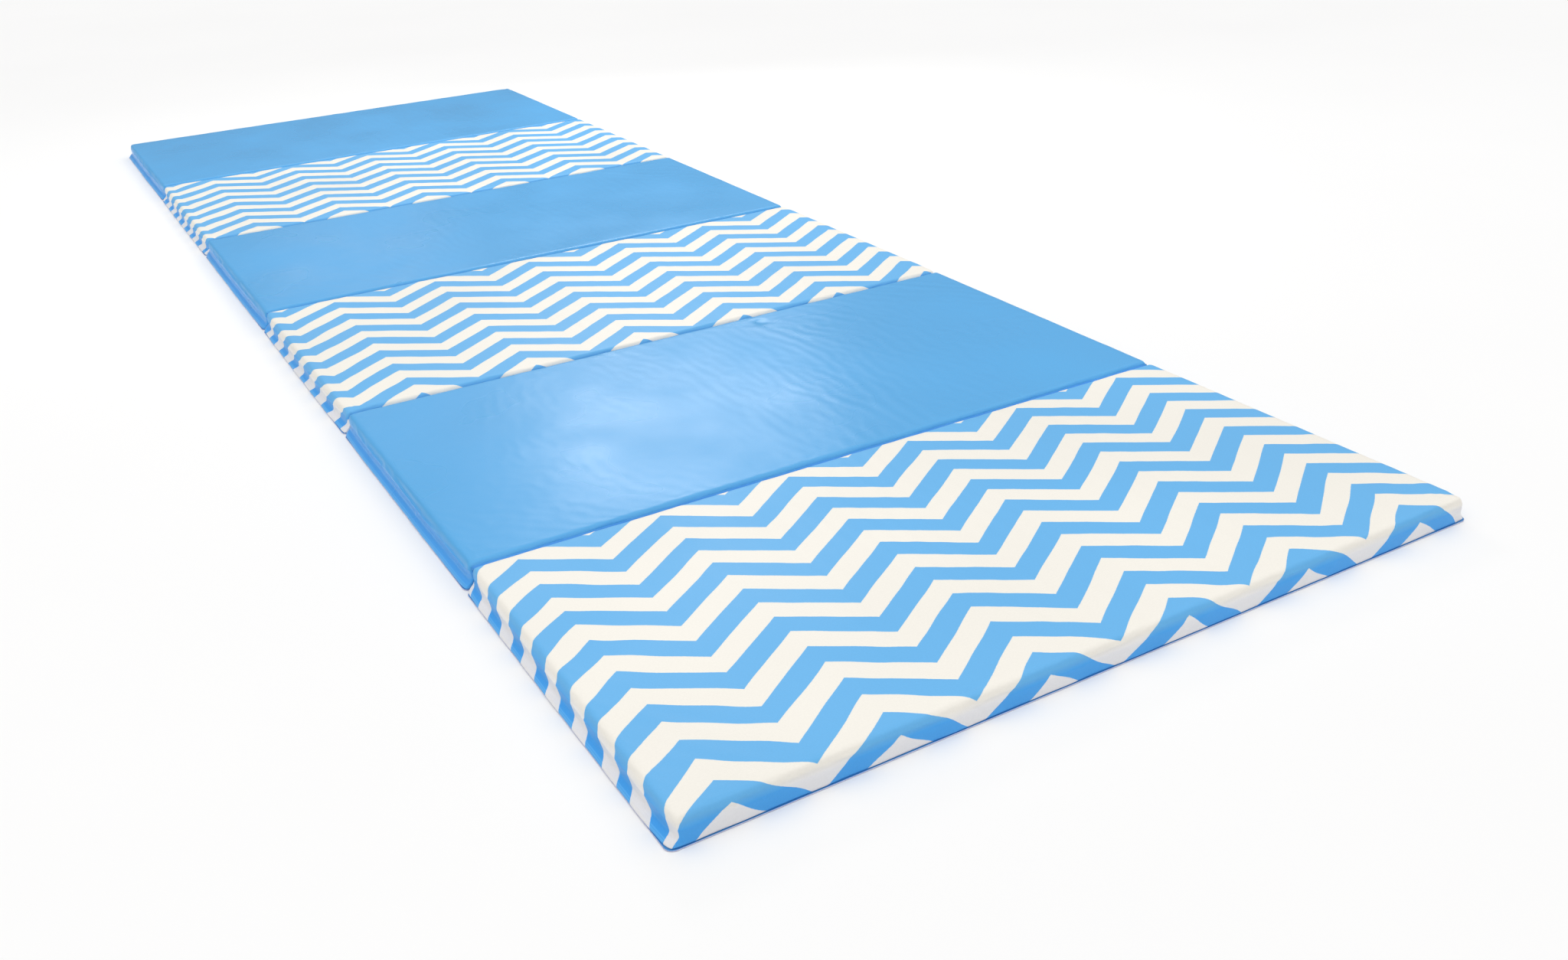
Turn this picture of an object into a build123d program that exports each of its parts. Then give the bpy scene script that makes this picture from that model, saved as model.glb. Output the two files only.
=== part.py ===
"""Folding gym mat: six padded vinyl panels joined edge to edge by five fabric hinges.

The mat lies flat on the floor. X runs across it, Y runs along it from panel 1 to panel 6, and
Z is up. The origin is at the centre of its underside. All lengths are in millimetres.
"""

import os

from build123d import *

# The whole mat: six panels of 2 ft by 4 ft, 1 1/2 in thick.
panel_count = 6
panel_pitch = 609.6
mat_width = 1219.2
mat_thickness = 38.0
hinge_gap = 3.0

# The vinyl skin and the shape of a panel's edges.
vinyl = 1.2
lip_reach = 8.0
lip_height = 9.0
lip_round = 3.5
shoulder_round = 9.0
corner_round = 12.0
foam_slack = 1.0

# The fabric hinge that lies in the gap between two panels.
hinge_vinyl = 0.9
hinge_flange = 24.0
hinge_below_face = 0.3
hinge_side_clearance = 0.4
hinge_inset = 12.0
hinge_axis_off_face = 1.0

# The slide fastener in each panel's right-hand wall.
zip_length = 540.0
zip_height = 19.0
tape_width = 12.0
tape_thickness = 0.8
tape_split = 0.2
coil_width = 5.0
coil_split = 0.3
coil_depth = 1.9
coil_round = 0.8
stop_length = 3.0
stop_width = 6.0
stop_depth = 2.3
stop_inset = 6.0
slider_length = 9.0
slider_roof = 1.2
slider_leg = 1.3
slider_clearance = 0.3
slider_round = 0.6
bridge_length = 4.0
bridge_width = 2.4
bridge_height = 0.9

# Sizes that follow from those above.
panel_length = panel_pitch - hinge_gap
wall_x = mat_width / 2 - lip_reach
foam_x = wall_x - vinyl
tape_face_x = foam_x + tape_thickness
coil_face_x = tape_face_x + coil_depth
stop_centre = zip_length / 2 - stop_inset
coil_length = 2 * stop_centre - stop_length
slider_rest = coil_length / 2 - slider_clearance - slider_length / 2
slider_travel = 2 * slider_rest


def rounded_block(width, length, low, high, corner, shoulder):
    """A block on the mat's centre line with round upright corners and a round upper edge."""
    block = Pos(0, 0, (low + high) / 2) * Box(width, length, high - low)
    block = fillet(block.edges().filter_by(Axis.Z), corner)
    return fillet(block.faces().sort_by(Axis.Z)[-1].edges(), shoulder)


def foam_core():
    """The foam slab that fills a panel. Its edges are a little rounder than the vinyl's."""
    return rounded_block(
        2 * foam_x,
        panel_length - 2 * vinyl,
        vinyl,
        mat_thickness - vinyl,
        corner_round - vinyl + foam_slack,
        shoulder_round - vinyl + foam_slack,
    )


def long_side_lips():
    """The rounded lips low on both long sides, where the cover meets the underside."""
    rail_width = lip_reach + vinyl / 2
    rail_length = panel_length - 2 * corner_round
    rail_height = lip_height - vinyl
    rail_x = mat_width / 2 - rail_width / 2
    rail_z = (lip_height + vinyl) / 2
    rail = Pos(rail_x, 0, rail_z) * Box(rail_width, rail_length, rail_height)
    outer_edges = rail.edges().filter_by(Axis.Y).sort_by(Axis.X)[-2:]
    rail = fillet(outer_edges, lip_round)
    return rail + mirror(rail, Plane.YZ)


def cover():
    """The vinyl top sheet, folded down over all four sides, with a slot for the fastener."""
    outside = rounded_block(
        2 * wall_x,
        panel_length,
        vinyl,
        mat_thickness,
        corner_round,
        shoulder_round,
    )
    inside = rounded_block(
        2 * foam_x,
        panel_length - 2 * vinyl,
        0,
        mat_thickness - vinyl,
        corner_round - vinyl,
        shoulder_round - vinyl,
    )
    slot = Pos(wall_x, 0, zip_height) * Box(4 * vinyl, zip_length, tape_width)
    return outside + long_side_lips() - inside - slot


def underside():
    """The flat vinyl sheet under a panel."""
    sheet = Pos(0, 0, vinyl / 2) * Box(mat_width, panel_length, vinyl)
    return fillet(sheet.edges().filter_by(Axis.Z), corner_round)


def zip_tapes():
    """The upper and lower tape, side by side in the cover's slot."""
    width = (tape_width - tape_split) / 2
    tape = Box(tape_thickness, zip_length, width)
    x = foam_x + tape_thickness / 2
    rise = (width + tape_split) / 2
    return [Pos(x, 0, zip_height + side * rise) * tape for side in (1, -1)]


def zip_coils():
    """The two runs of interlocking coil, each rounded on the outside."""
    width = (coil_width - coil_split) / 2
    x = tape_face_x + coil_depth / 2
    rise = (width + coil_split) / 2
    run = Box(coil_depth, coil_length, width)
    run = fillet(run.edges().filter_by(Axis.Y).sort_by(Axis.X)[-2:], coil_round)
    return [Pos(x, 0, zip_height + side * rise) * run for side in (1, -1)]


def zip_stops():
    """The two metal stops, one at each end of the coil."""
    x = tape_face_x + stop_depth / 2
    stop = Box(stop_depth, stop_length, stop_width)
    stop = fillet(stop.edges().filter_by(Axis.Y).sort_by(Axis.X)[-2:], coil_round)
    return [Pos(x, side * stop_centre, zip_height) * stop for side in (-1, 1)]


def zip_slider():
    """The slider: a channel over the coil with a low bridge on its back and no pull tab."""
    low_x = tape_face_x + slider_clearance
    roof_x = coil_face_x + slider_clearance
    high_x = roof_x + slider_roof
    width = coil_width + 2 * (slider_clearance + slider_leg)
    channel_width = coil_width + 2 * slider_clearance
    body = Pos((low_x + high_x) / 2, 0, 0) * Box(high_x - low_x, slider_length, width)
    body = fillet(body.edges().filter_by(Axis.X), slider_round)
    channel_x = (low_x + roof_x) / 2
    channel = Pos(channel_x, 0, 0) * Box(roof_x - low_x, 2 * slider_length, channel_width)
    bridge_x = high_x + bridge_height / 2
    bridge = Pos(bridge_x, 0, 0) * Box(bridge_height, bridge_length, bridge_width)
    return Pos(0, -slider_rest, zip_height) * (body - channel + bridge)


def hinge_strip(on_top):
    """One fabric hinge: a tongue across the gap and a flange down the nearer panel's end face."""
    length = mat_width - 2 * (lip_reach + hinge_inset)
    face_y = -hinge_gap / 2
    tongue_end = hinge_gap / 2 - hinge_side_clearance
    top = mat_thickness - hinge_below_face
    tongue_y = (face_y + tongue_end) / 2
    tongue = Box(length, tongue_end - face_y, hinge_vinyl)
    tongue = Pos(0, tongue_y, top - hinge_vinyl / 2) * tongue
    flange = Box(length, hinge_vinyl, hinge_flange)
    flange = Pos(0, face_y + hinge_vinyl / 2, top - hinge_flange / 2) * flange
    strip = tongue + flange
    if on_top:
        return strip
    middle = Plane.XY.offset(mat_thickness / 2)
    return mirror(strip, middle)


def save(node, solids, y):
    """Writes one node, moved along the mat to its place."""
    moved = [Pos(0, y, 0) * solid for solid in solids]
    shape = moved[0] if len(moved) == 1 else Compound(children=moved)
    shape.label = node
    export_step(shape, f"parts/{node}.step")


os.makedirs("parts", exist_ok=True)
for number in range(1, panel_count + 1):
    y_panel = (number - (panel_count + 1) / 2) * panel_pitch
    save(f"foam_core_{number}", [foam_core()], y_panel)
    save(f"cover_{number}", [cover()], y_panel)
    save(f"underside_{number}", [underside()], y_panel)
    save(f"zip_tape_{number}", zip_tapes(), y_panel)
    save(f"zip_coil_{number}", zip_coils(), y_panel)
    save(f"zip_stops_{number}", zip_stops(), y_panel)
    save(f"zip_slider_{number}", [zip_slider()], y_panel)

for number in range(1, panel_count):
    y_hinge = (number - panel_count / 2) * panel_pitch
    hinge_is_on_top = number % 2 == 1
    save(f"hinge_{number}_{number + 1}", [hinge_strip(hinge_is_on_top)], y_hinge)
    z_top_axis = mat_thickness + hinge_axis_off_face
    z_axis = z_top_axis if hinge_is_on_top else -hinge_axis_off_face
    print(f"hinge {number} to {number + 1}: axis along X at y {y_hinge:.1f}, z {z_axis:.1f}")

print(f"slider travel: {slider_travel:.1f}")
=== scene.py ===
"""A six panel folding exercise mat: vinyl covers over foam, fabric hinges and side zips."""

import math

import bmesh
import bpy
import numpy as np
from bpy.props import FloatProperty, FloatVectorProperty, IntProperty, PointerProperty
from mathutils import Euler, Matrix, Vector


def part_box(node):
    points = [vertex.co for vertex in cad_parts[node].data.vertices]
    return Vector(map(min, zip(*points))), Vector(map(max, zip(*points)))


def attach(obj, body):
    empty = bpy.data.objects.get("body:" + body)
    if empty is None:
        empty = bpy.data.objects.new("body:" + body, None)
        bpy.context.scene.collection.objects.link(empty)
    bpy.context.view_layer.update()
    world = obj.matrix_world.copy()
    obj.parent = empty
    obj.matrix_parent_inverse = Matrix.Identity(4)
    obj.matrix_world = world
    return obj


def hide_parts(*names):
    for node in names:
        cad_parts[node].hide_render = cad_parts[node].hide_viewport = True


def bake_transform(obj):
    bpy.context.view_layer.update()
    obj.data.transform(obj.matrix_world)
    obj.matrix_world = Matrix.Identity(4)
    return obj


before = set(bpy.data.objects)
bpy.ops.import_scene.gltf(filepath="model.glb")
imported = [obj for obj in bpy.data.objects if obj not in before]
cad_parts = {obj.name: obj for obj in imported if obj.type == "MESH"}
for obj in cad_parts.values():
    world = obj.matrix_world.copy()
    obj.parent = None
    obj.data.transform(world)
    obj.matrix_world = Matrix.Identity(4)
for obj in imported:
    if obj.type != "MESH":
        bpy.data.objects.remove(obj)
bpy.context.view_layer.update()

bl_info = {
    "name": "Folding Exercise Mat",
    "version": (1, 0, 0),
    "blender": (4, 5, 0),
    "location": "View3D > Sidebar > Mat",
    "description": "Builds the padded covers, hinges and zips of a folding exercise mat",
    "category": "Object",
}

PANELS = range(1, 7)
HINGES = range(1, 6)
PRINTED = (1, 3, 5)
MM = 0.001


# ---------------------------------------------------------------- frame measures

def panel_box(k):
    """Lowest and highest corner of panel k's cover solid."""
    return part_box(f"cover_{k}")


def panel_centre(k):
    low, high = panel_box(k)
    return (low.y + high.y) / 2


MAT_TOP = panel_box(1)[1].z
LIP_EDGE = panel_box(1)[1].x
HALF_LENGTH = (panel_box(1)[1].y - panel_box(1)[0].y) / 2
SHEET_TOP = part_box("underside_1")[1].z
LIP_REACH = 0.008
HEM_FLOOR = 0.0013
ZIP_HALF = 0.270
ZIP_RECESS = 0.0024


# ---------------------------------------------------------------- settings

def length_setting(name, text, default, low=0.0, high=2.0):
    return FloatProperty(name=name, description=text, default=default, min=low, max=high,
                         unit="LENGTH", precision=4)


def colour_setting(name, text, default):
    return FloatVectorProperty(name=name, description=text, default=default, size=3,
                               min=0.0, max=1.0, subtype="COLOR")


class CoverSettings(bpy.types.PropertyGroup):
    """Shape and print of the vinyl covers."""

    shoulder: length_setting("Shoulder", "How far inside the wall the top starts to round", 0.013)
    seam_shoulder: length_setting("Seam shoulder", "The same at a panel's two short ends", 0.008)
    cell: length_setting("Cell", "Spacing of the cloth mesh", 0.0088, 0.003, 0.05)
    fine_edge: length_setting("Corner", "Length of side that turns round a corner", 0.010)
    print_period: length_setting("Print period", "Width of one zigzag", 0.2088)
    print_pitch: length_setting("Print pitch", "One white and one blue stripe", 0.0787)
    print_rise: length_setting("Print rise", "Height from valley to peak", 0.0741)
    print_white: colour_setting("Print white", "White of the print", (0.905, 0.872, 0.800))
    print_blue: colour_setting("Print blue", "Blue of the print", (0.142, 0.465, 0.840))
    plain_blue: colour_setting("Plain blue", "Blue of the plain vinyl", (0.085, 0.405, 0.790))
    # Painted shade: a deeper blue on the turned-down walls and creases, standing in for the sheen
    # they don't catch.
    shaded_wall_blue: colour_setting("Deep blue", "Blue where the vinyl turns down", (0.060, 0.375, 0.885))


class HingeSettings(bpy.types.PropertyGroup):
    """The fabric strips between panels and the sheet underneath."""

    thickness: length_setting("Thickness", "Thickness of the strip", 0.0009)
    hinge_blue: colour_setting("Hinge blue", "Colour of the strips", (0.070, 0.330, 0.780))
    underside_blue: colour_setting("Underside blue", "Colour underneath", (0.060, 0.270, 0.620))
    edge_grey: colour_setting("Cut edge", "Pale cut edge of the sheet", (0.60, 0.62, 0.84))


class ZipSettings(bpy.types.PropertyGroup):
    """Side zips and thread."""

    tooth_pitch: length_setting("Tooth pitch", "Distance between teeth", 0.0024, 0.0005, 0.02)
    stitch_pitch: length_setting("Stitch pitch", "Distance between stitches", 0.0050, 0.001, 0.05)
    tape_blue: colour_setting("Tape", "Colour of the woven tape", (0.020, 0.105, 0.360))
    coil_blue: colour_setting("Coil", "Colour of the teeth", (0.030, 0.140, 0.420))
    metal: colour_setting("Metal", "Colour of the slider and stops", (0.55, 0.56, 0.58))
    thread: colour_setting("Thread", "Colour of the thread", (0.20, 0.45, 0.78))


class StageSettings(bpy.types.PropertyGroup):
    """Floor, lights and camera."""

    floor_size: length_setting("Floor", "Width of the floor", 60.0, 1.0, 200.0)
    world: FloatProperty(name="Ceiling", description="Strength of the white room overhead",
                         default=1.12)
    horizon: FloatProperty(name="Walls", description="Strength of the room low down",
                           default=0.22)
    key: FloatProperty(name="Key", description="Strength of the overhead light", default=0.49)
    back: FloatProperty(name="Back", description="Power of the lights behind", default=7.5,
                        unit="POWER")
    lens: FloatProperty(name="Lens", description="Focal length", default=32.68)
    cloth_frames: IntProperty(name="Cloth frames", description="Steps of settling", default=16)


# ---------------------------------------------------------------- mesh helpers

def linked_object(name, data):
    """A new object with this data, linked to the scene."""
    made = bpy.data.objects.new(name, data)
    bpy.context.scene.collection.objects.link(made)
    return made


def mesh_object(name, points, faces, cut=None, layers=None):
    """An object whose mesh has these points and faces, a flat cut UV map and point layers."""
    mesh = bpy.data.meshes.new(name)
    mesh.from_pydata([tuple(p) for p in points], [], [tuple(int(i) for i in f) for f in faces])
    if cut is not None:
        corner = np.zeros(len(mesh.loops), np.int32)
        mesh.loops.foreach_get("vertex_index", corner)
        uv = mesh.uv_layers.new(name="cut")
        uv.data.foreach_set("uv", np.asarray(cut, np.float32)[corner].ravel())
    for label, values in (layers or {}).items():
        layer = mesh.attributes.new(label, "FLOAT", "POINT")
        layer.data.foreach_set("value", np.asarray(values, np.float32))
    mesh.shade_smooth()
    return linked_object(name, mesh)


def two_layers(runs, across):
    """Faces of a thin sheet: two grids of points, one after the other, closed round the rim."""
    total = runs * across
    faces = []
    for i in range(runs - 1):
        a, b = i * across, (i + 1) * across
        for j in range(across - 1):
            faces.append((a + j, b + j, b + j + 1, a + j + 1))
            faces.append((a + j + total, a + j + 1 + total, b + j + 1 + total, b + j + total))
        c, d = a + across - 1, b + across - 1
        faces += [(a, a + total, b + total, b), (c, d, d + total, c + total)]
    for j in range(across - 1):
        e = (runs - 1) * across + j
        faces += [(j, j + 1, j + 1 + total, j + total), (e, e + total, e + 1 + total, e + 1)]
    return faces


def box_object(name, low, high, rounding):
    """A rounded block between two corners."""
    work = bmesh.new()
    bmesh.ops.create_cube(work, size=1.0)
    size = high - low
    for v in work.verts:
        v.co = Vector([(v.co[i] + 0.5) * size[i] + low[i] for i in range(3)])
    bmesh.ops.bevel(work, geom=list(work.edges), offset=rounding, segments=3, profile=0.5,
                    affect="EDGES")
    bmesh.ops.recalc_face_normals(work, faces=list(work.faces))
    mesh = bpy.data.meshes.new(name)
    work.to_mesh(mesh)
    work.free()
    mesh.shade_smooth()
    return linked_object(name, mesh)


def fix_normals(piece):
    """Turns every face of a closed piece outwards."""
    work = bmesh.new()
    work.from_mesh(piece.data)
    bmesh.ops.recalc_face_normals(work, faces=list(work.faces))
    work.to_mesh(piece.data)
    work.free()


def subdivide_and_close(piece):
    """Makes one subdivision permanent, then closes the open hem with one flat face."""
    finish = piece.modifiers.new("Smooth", "SUBSURF")
    finish.levels = 1
    finish.render_levels = 1
    finish.boundary_smooth = "PRESERVE_CORNERS"
    bpy.context.view_layer.update()
    view = bpy.context.evaluated_depsgraph_get()
    mesh = bpy.data.meshes.new_from_object(piece.evaluated_get(view))
    piece.modifiers.clear()
    coarse, piece.data = piece.data, mesh
    bpy.data.meshes.remove(coarse)
    mesh.name = piece.name
    work = bmesh.new()
    work.from_mesh(mesh)
    hem = [e for e in work.edges if e.is_boundary]
    bmesh.ops.edgeloop_fill(work, edges=hem)
    work.faces.ensure_lookup_table()
    bottom = max(work.faces, key=lambda f: len(f.verts))
    bottom.normal_update()
    if bottom.normal.z > 0:
        bottom.normal_flip()
    bottom.smooth = False
    work.to_mesh(mesh)
    work.free()


def give_material(piece, material):
    """Puts a material in a piece's first slot."""
    if piece.data.materials:
        piece.data.materials[0] = material
    else:
        piece.data.materials.append(material)


def stand_in(piece, material, node, body):
    """Finishes a piece that takes a CAD node's place and rides on a body."""
    give_material(piece, material)
    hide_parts(node)
    if body is not None:
        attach(piece, body)


def drop(piece):
    """Removes an object and its mesh."""
    data = piece.data
    bpy.data.objects.remove(piece)
    if data is not None and data.users == 0:
        bpy.data.meshes.remove(data)


def sines(seed, count, shortest, longest):
    """Plane waves with seeded directions, lengths and phases, as a function of x and y."""
    rng = np.random.RandomState(seed)
    wave = rng.uniform(shortest, longest, count)
    turn = rng.uniform(0, 2 * math.pi, count)
    phase = rng.uniform(0, 2 * math.pi, count)

    def field(x, y):
        total = np.zeros_like(x)
        for length, angle, shift in zip(wave, turn, phase):
            across = x * math.cos(angle) + y * math.sin(angle)
            total += np.sin(2 * math.pi * across / length + shift)
        return total / math.sqrt(count)

    return field


def ease(value):
    """A smooth step from 0 to 1."""
    value = np.clip(value, 0, 1)
    return value * value * (3 - 2 * value)


# ---------------------------------------------------------------- node helpers

class Nodes:
    """Short calls for building a node tree."""

    def __init__(self, tree):
        self.tree = tree

    def add(self, kind, *sources, **values):
        """A new node: inputs in order, or by name with a capital; other values are settings."""
        made = self.tree.nodes.new(kind)
        for key, value in values.items():
            if key[0].islower():
                setattr(made, key, value)
        for socket, source in zip(made.inputs, sources):
            self.feed(socket, source)
        self.set(made, **{key: value for key, value in values.items() if key[0].isupper()})
        return made

    def set(self, node, **sources):
        """Feeds a node's inputs by name, with underscores for spaces."""
        for key, source in sources.items():
            self.feed(node.inputs[key.replace("_", " ")], source)

    def feed(self, socket, source):
        """Links a node or an output to an input, or sets the input's own value."""
        if source is None:
            return
        if hasattr(source, "outputs"):
            source = source.outputs[0]
        if hasattr(source, "is_output"):
            self.tree.links.new(source, socket)
        else:
            socket.default_value = source

    def math(self, operation, a, b=None, c=None):
        return self.add("ShaderNodeMath", a, b, c, operation=operation).outputs[0]

    def vector(self, operation, a, b=None):
        return self.add("ShaderNodeVectorMath", a, b, operation=operation).outputs[0]

    def split(self, vector):
        return self.add("ShaderNodeSeparateXYZ", vector).outputs

    def noise(self, vector, scale, detail=2.0, rough=0.5):
        return self.add("ShaderNodeTexNoise", Vector=vector, Scale=scale, Detail=detail,
                        Roughness=rough).outputs[0]

    def voronoi(self, vector, scale, feature="F1"):
        return self.add("ShaderNodeTexVoronoi", feature=feature, Vector=vector,
                        Scale=scale).outputs["Distance"]

    def spread(self, value, low, high, to_low=0.0, to_high=1.0, smooth=False):
        kind = "SMOOTHSTEP" if smooth else "LINEAR"
        return self.add("ShaderNodeMapRange", value, low, high, to_low, to_high,
                        interpolation_type=kind).outputs[0]

    def mix(self, share, a, b):
        """A colour between a and b."""
        made = self.add("ShaderNodeMix", data_type="RGBA")
        self.feed(made.inputs[0], share)
        for place, colour in ((6, a), (7, b)):
            whole = colour if hasattr(colour, "is_output") else (*colour, 1.0)
            self.feed(made.inputs[place], whole)
        return made.outputs[2]

    def layer(self, name):
        return self.add("ShaderNodeAttribute", attribute_name=name).outputs["Fac"]

    def bump(self, height, strength, distance, below=None):
        return self.add("ShaderNodeBump", Strength=strength, Distance=distance, Height=height,
                        Normal=below).outputs[0]


def new_material(name, **uniform):
    """A material with a Principled shader, its uniform values set on the shader itself."""
    material = bpy.data.materials.new(name)
    material.use_nodes = True
    nodes = Nodes(material.node_tree)
    shader = next(n for n in material.node_tree.nodes if n.type == "BSDF_PRINCIPLED")
    nodes.set(shader, **uniform)
    where = nodes.add("ShaderNodeTexCoord").outputs["Object"]
    return material, nodes, shader, where


# ---------------------------------------------------------------- materials

# Painted highlight: pale lines lightening the vinyl along the ribs of the flared hem.
RIB_HIGHLIGHT = (0.07, 0.12, 0.09)
RIB_HIGHLIGHT_SHARE = 0.8
# Painted shade: the lavender grey that the white print turns to down the walls.
SHADED_WHITE = (0.80, 0.82, 0.90)
SHADED_SHARE = 0.7
PRINT_BLEED = 0.0055
THREAD_PITCH = 0.0007
FOAM_DARK = (0.42, 0.40, 0.36)
FOAM_LIGHT = (0.72, 0.70, 0.64)


def with_rib_highlights(nodes, shade):
    """Fine pale lines along the flared hem: painted highlights where its ribs catch the light."""
    light = nodes.vector("ADD", shade, RIB_HIGHLIGHT)
    return nodes.mix(nodes.math("MULTIPLY", nodes.layer("rib"), RIB_HIGHLIGHT_SHARE), shade, light)


def vinyl_relief(nodes, shader, where, grain, depth):
    """Pressed grain of coated cloth: small pebbles and a fainter weave under them."""
    pebbles = nodes.voronoi(where, grain)
    weave = nodes.noise(where, grain * 0.35, 3.0, 0.6)
    slow = nodes.noise(where, 9.0, 2.0)
    height = nodes.math("ADD", nodes.math("MULTIPLY", pebbles, 0.6), weave)
    fine = nodes.bump(height, 0.35, depth)
    nodes.set(shader, Normal=nodes.bump(slow, 0.10, 0.0020, fine))


def vinyl_roughness(nodes, shader, where, low, high):
    """Polished and duller patches, and duller rubbed shoulders."""
    patch = nodes.spread(nodes.noise(where, 5.0, 2.0, 0.5), 0.1, 0.9, low, high, smooth=True)
    rubbed = nodes.math("MULTIPLY", nodes.layer("edge"), 0.10)
    nodes.set(shader, Roughness=nodes.math("ADD", patch, rubbed))


def aged(nodes, where, colour, strength=0.05):
    """Slow tone changes and fine specks over a colour."""
    tone = nodes.spread(nodes.noise(where, 2.3, 3.0), 0.25, 0.75, 1.0 - strength, 1.0 + strength)
    speck = nodes.spread(nodes.noise(where, 420.0, 2.0), 0.3, 0.7, 0.985, 1.015)
    both = nodes.math("MULTIPLY", tone, speck)
    grey = nodes.add("ShaderNodeCombineXYZ", both, both, both)
    return nodes.vector("MULTIPLY", colour, grey)


def printed_vinyl(sizes):
    """White and blue zigzags printed on the flat cut, with slightly bled edges."""
    material, nodes, shader, where = new_material("printed_vinyl", Specular_IOR_Level=0.24,
                                                  IOR=1.47)
    cut = nodes.add("ShaderNodeUVMap", uv_map="cut")
    drift = nodes.noise(cut, 7.0, 2.0)
    bleed = nodes.noise(cut, 260.0, 3.0, 0.7)
    along, up, _ = nodes.split(cut)
    up = nodes.math("ADD", up, nodes.spread(drift, 0.0, 1.0, -0.004, 0.004))
    up = nodes.math("ADD", up, nodes.spread(bleed, 0.0, 1.0, -0.0006, 0.0006))
    along = nodes.math("ADD", along, nodes.spread(nodes.noise(cut, 5.0), 0.0, 1.0, -0.003, 0.003))
    zigzag = nodes.math("PINGPONG", along, sizes.print_period / 2)
    slope = 2 * sizes.print_rise / sizes.print_period
    phase = nodes.math("DIVIDE", nodes.math("MULTIPLY_ADD", zigzag, slope, up), sizes.print_pitch)
    stripe = nodes.math("PINGPONG", nodes.math("ADD", phase, 0.25), 0.5)
    white = nodes.spread(stripe, 0.25 + PRINT_BLEED, 0.25 - PRINT_BLEED)
    # The wall_shade layer paints shade: deeper blue down the walls, most in the flared crease.
    wall_shading = nodes.layer("wall_shade")
    blue = with_rib_highlights(nodes, nodes.mix(wall_shading, sizes.print_blue, sizes.shaded_wall_blue))
    # Painted shade: the white print greyed toward lavender down the walls.
    wall_shaded_white = nodes.mix(nodes.math("MULTIPLY", wall_shading, SHADED_SHARE), sizes.print_white,
                           SHADED_WHITE)
    nodes.set(shader, Base_Color=aged(nodes, where, nodes.mix(white, blue, wall_shaded_white), 0.03))
    vinyl_roughness(nodes, shader, where, 0.32, 0.52)
    vinyl_relief(nodes, shader, where, 900.0, 0.00025)
    return material


def plain_vinyl(sizes):
    """Glossy blue coated cloth."""
    material, nodes, shader, where = new_material("plain_vinyl", Specular_IOR_Level=0.42, IOR=1.5)
    # Painted shade: deeper blue down the walls and in the flared crease, from the wall_shade layer.
    wall_shading = nodes.layer("wall_shade")
    shade = with_rib_highlights(nodes, nodes.mix(wall_shading, sizes.plain_blue, sizes.shaded_wall_blue))
    nodes.set(shader, Base_Color=aged(nodes, where, shade, 0.04))
    vinyl_roughness(nodes, shader, where, 0.20, 0.42)
    vinyl_relief(nodes, shader, where, 1100.0, 0.00018)
    return material


def backing_vinyl(name, colour, edge, roughness):
    """Duller coated cloth with a coarse cross weave, and a pale cut edge."""
    material, nodes, shader, where = new_material(name, Specular_IOR_Level=0.35)
    across, along, _ = nodes.split(where)
    warp = nodes.math("PINGPONG", across, THREAD_PITCH)
    weft = nodes.math("PINGPONG", along, THREAD_PITCH)
    cloth = nodes.math("MULTIPLY", nodes.math("ADD", warp, weft), 700.0)
    rim = nodes.spread(nodes.layer("rim"), 0.4, 0.6)
    shade = nodes.mix(rim, colour, edge)
    scuffed = nodes.spread(nodes.noise(where, 14.0, 5.0, 0.7), 0.3, 0.7, roughness - 0.08,
                           roughness + 0.10)
    nodes.set(shader, Base_Color=aged(nodes, where, shade, 0.07), Roughness=scuffed,
              Normal=nodes.bump(cloth, 0.5, 0.00035))
    return material


def foam_material():
    """Open cell foam."""
    material, nodes, shader, where = new_material("foam", Specular_IOR_Level=0.2, Roughness=0.9)
    cells = nodes.voronoi(where, 520.0, "DISTANCE_TO_EDGE")
    shade = nodes.mix(nodes.spread(cells, 0.0, 0.25), FOAM_DARK, FOAM_LIGHT)
    nodes.set(shader, Base_Color=aged(nodes, where, shade, 0.08),
              Normal=nodes.bump(cells, 0.9, 0.0010))
    return material


def tape_material(colour):
    """Herringbone zip tape."""
    material, nodes, shader, where = new_material("zip_tape_weave", Roughness=0.85,
                                                  Specular_IOR_Level=0.25)
    _, along, up = nodes.split(where)
    ridge = nodes.math("PINGPONG", up, 0.0016)
    slant = nodes.math("PINGPONG", nodes.math("ADD", along, ridge), 0.0005)
    rib = nodes.math("MULTIPLY", slant, 2000.0)
    dark = tuple(0.55 * c for c in colour)
    shade = nodes.mix(rib, dark, tuple(colour))
    nodes.set(shader, Base_Color=aged(nodes, where, shade, 0.08),
              Normal=nodes.bump(rib, 0.7, 0.0003))
    return material


def moulded_material(name, colour, roughness, metallic=0.0):
    """Moulded nylon or plated metal with fine scratches."""
    material, nodes, shader, where = new_material(name, Metallic=metallic)
    scratch = nodes.noise(nodes.vector("MULTIPLY", where, (900.0, 90.0, 900.0)), 1.0, 4.0, 0.7)
    worn = nodes.spread(scratch, 0.35, 0.65, 0.82, 1.12)
    shade = nodes.add("ShaderNodeCombineXYZ", worn, worn, worn)
    nodes.set(shader, Base_Color=nodes.vector("MULTIPLY", shade, tuple(colour)),
              Roughness=nodes.spread(scratch, 0.3, 0.7, roughness - 0.08, roughness + 0.12),
              Normal=nodes.bump(scratch, 0.25, 0.0001))
    return material


def thread_material(colour):
    """Twisted thread."""
    material, nodes, shader, where = new_material("thread", Roughness=0.7)
    twist = nodes.noise(where, 1800.0, 2.0)
    shade = nodes.mix(twist, tuple(0.7 * c for c in colour), tuple(colour))
    nodes.set(shader, Base_Color=shade, Normal=nodes.bump(twist, 0.6, 0.0002))
    return material


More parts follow.
